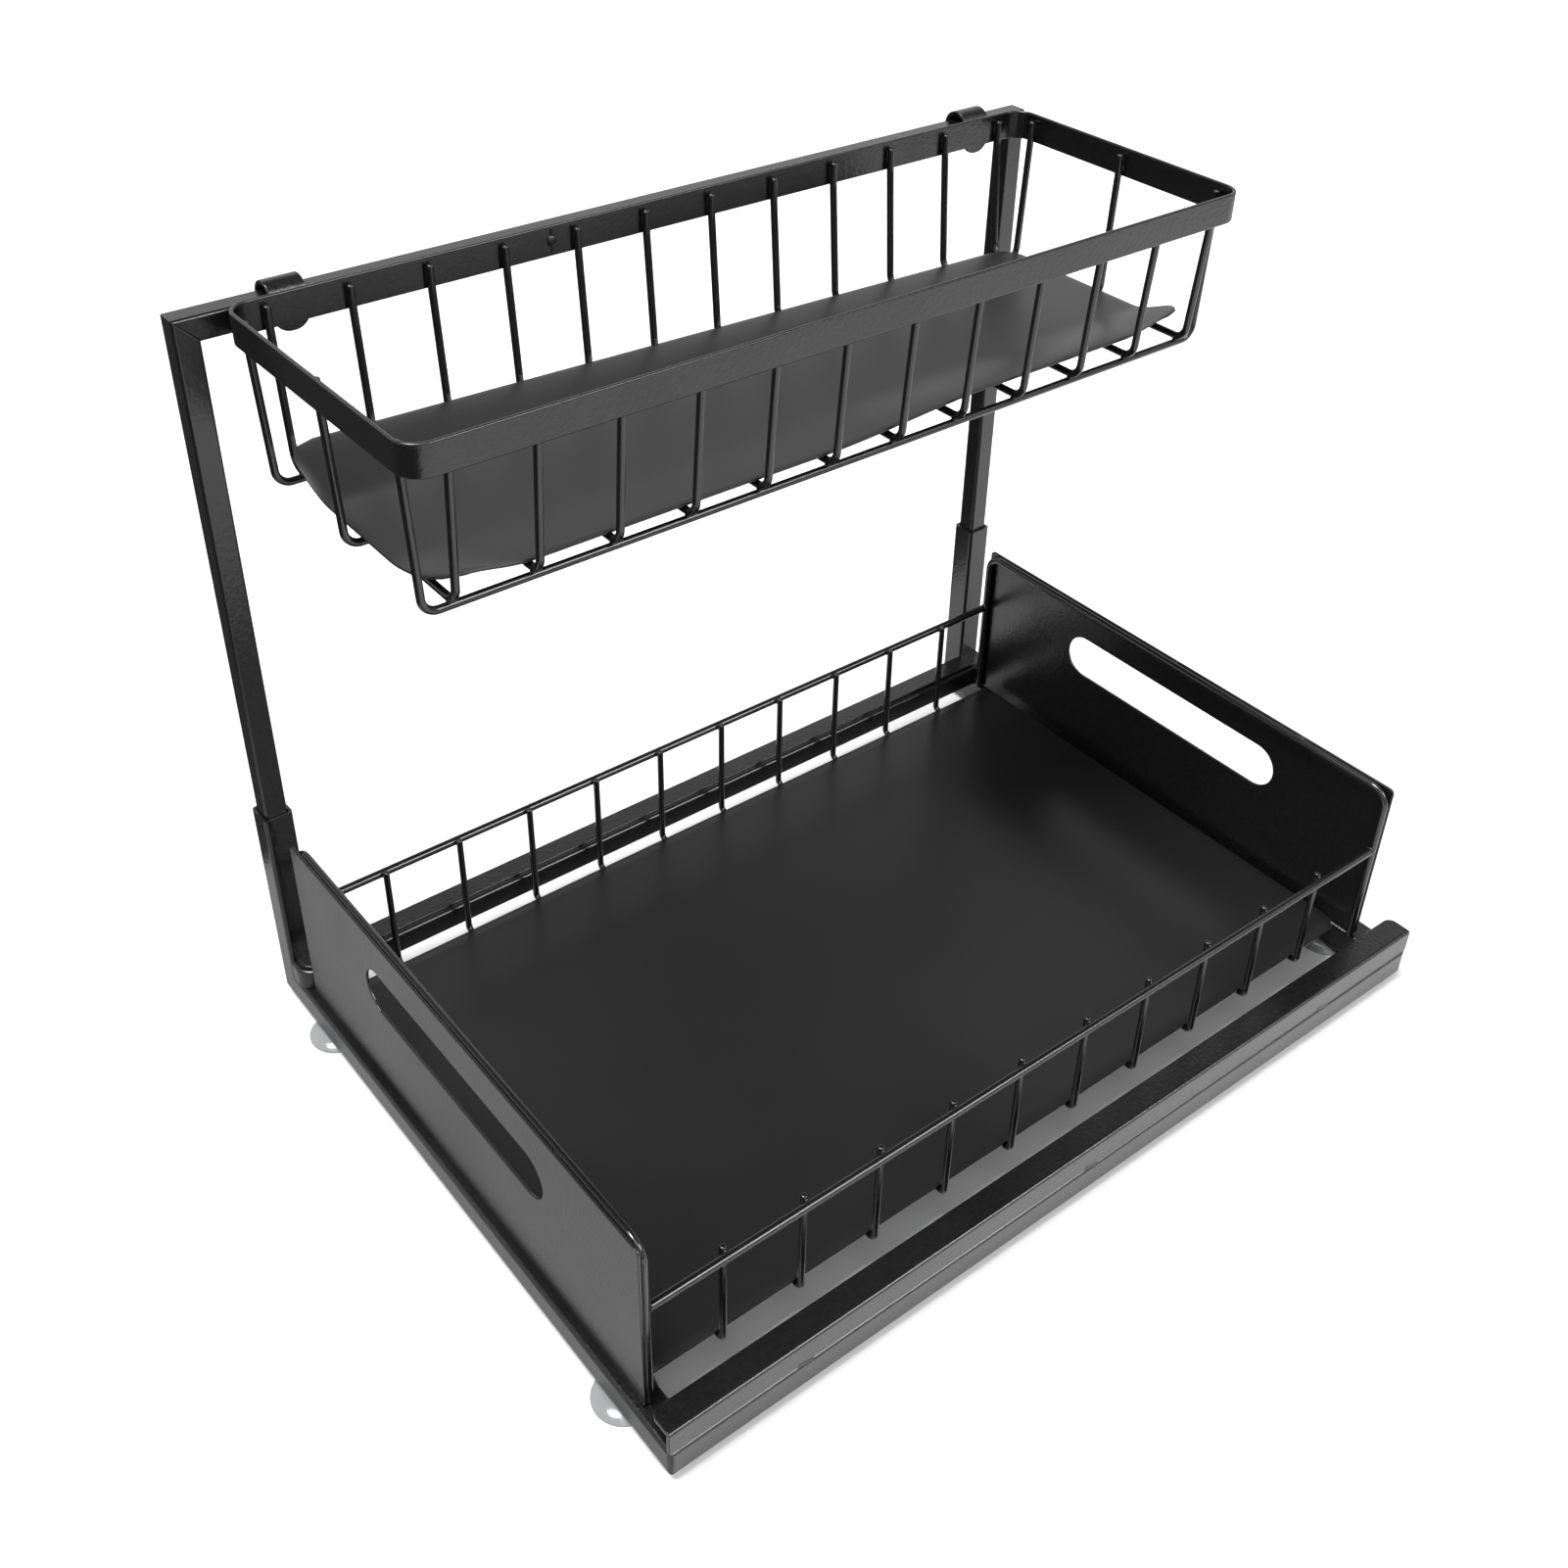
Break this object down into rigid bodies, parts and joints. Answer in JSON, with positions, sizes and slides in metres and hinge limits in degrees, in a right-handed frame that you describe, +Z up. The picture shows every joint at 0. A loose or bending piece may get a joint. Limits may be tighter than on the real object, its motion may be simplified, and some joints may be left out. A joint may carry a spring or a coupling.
{
  "type": "under sink organizer",
  "caption": "Tiered under-sink organizer: a tube base on suction cups carries a lift-out basket, and a plug-in rear frame carries a hook-on wire basket.",
  "frame": {"origin": "on the floor, under the middle of the base", "axes": "+X to the right seen from the front, +Y to the rear where the upper frame stands, +Z up"},
  "size_m": [0.412, 0.2925, 0.3211],
  "materials": {
    "base_steel": "black powder coat, satin, with a fine grain",
    "upper_frame_steel": "black powder coat, satin, with a fine grain",
    "lower_basket_steel": "black powder coat, satin, with a fine grain",
    "upper_basket_steel": "black powder coat, satin, with a fine grain",
    "floor_mat": "smooth matte black sheet",
    "basket_liner": "smooth matte black sheet",
    "suction_cup": "clear soft vinyl"
  },
  "bodies": {
    "base": {"left_side_rail": "base_steel", "right_side_rail": "base_steel", "front_rail": "base_steel", "left_sleeve": "base_steel", "right_sleeve": "base_steel", "front_lip": "base_steel", "rear_lip": "base_steel", "suction_cup_front_left": "suction_cup", "suction_cup_front_right": "suction_cup", "suction_cup_rear_left": "suction_cup", "suction_cup_rear_right": "suction_cup"},
    "lower_basket": {"left_panel": "lower_basket_steel", "right_panel": "lower_basket_steel", "left_hoop": "lower_basket_steel", "right_hoop": "lower_basket_steel", "front_rod": "lower_basket_steel", "rear_rod": "lower_basket_steel", "floor_wire_01": "lower_basket_steel", "floor_wire_02": "lower_basket_steel", "floor_wire_03": "lower_basket_steel", "floor_wire_04": "lower_basket_steel", "floor_wire_05": "lower_basket_steel", "floor_wire_06": "lower_basket_steel", "floor_wire_07": "lower_basket_steel", "floor_wire_08": "lower_basket_steel", "floor_wire_09": "lower_basket_steel", "floor_wire_10": "lower_basket_steel"},
    "floor_mat": {"floor_mat": "floor_mat"},
    "upper_frame": {"left_post": "upper_frame_steel", "right_post": "upper_frame_steel", "crossbar": "upper_frame_steel"},
    "hanging_basket": {"rim_band": "upper_basket_steel", "left_hook": "upper_basket_steel", "right_hook": "upper_basket_steel", "cross_wire_01": "upper_basket_steel", "cross_wire_02": "upper_basket_steel", "cross_wire_03": "upper_basket_steel", "cross_wire_04": "upper_basket_steel", "cross_wire_05": "upper_basket_steel", "cross_wire_06": "upper_basket_steel", "cross_wire_07": "upper_basket_steel", "cross_wire_08": "upper_basket_steel", "cross_wire_09": "upper_basket_steel", "cross_wire_10": "upper_basket_steel", "cross_wire_11": "upper_basket_steel", "cross_wire_12": "upper_basket_steel", "long_wire_1": "upper_basket_steel", "long_wire_2": "upper_basket_steel", "long_wire_3": "upper_basket_steel"},
    "basket_liner": {"basket_liner": "basket_liner"}
  },
  "joints": [
    {"name": "lower_basket_lift", "type": "slide", "parent": "base", "child": "lower_basket", "axis": [0, 0, 1], "range_m": [0, 0.06]},
    {"name": "floor_mat_lift", "type": "slide", "parent": "lower_basket", "child": "floor_mat", "axis": [0, 0, 1], "range_m": [0, 0.085]},
    {"name": "upper_frame_lift", "type": "slide", "parent": "base", "child": "upper_frame", "axis": [0, 0, 1], "range_m": [0, 0.1]},
    {"name": "hanging_basket_lift", "type": "slide", "parent": "upper_frame", "child": "hanging_basket", "axis": [0, 0, 1], "range_m": [0, 0.025]},
    {"name": "basket_liner_lift", "type": "slide", "parent": "hanging_basket", "child": "basket_liner", "axis": [0, 0, 1], "range_m": [0, 0.065]}
  ]
}
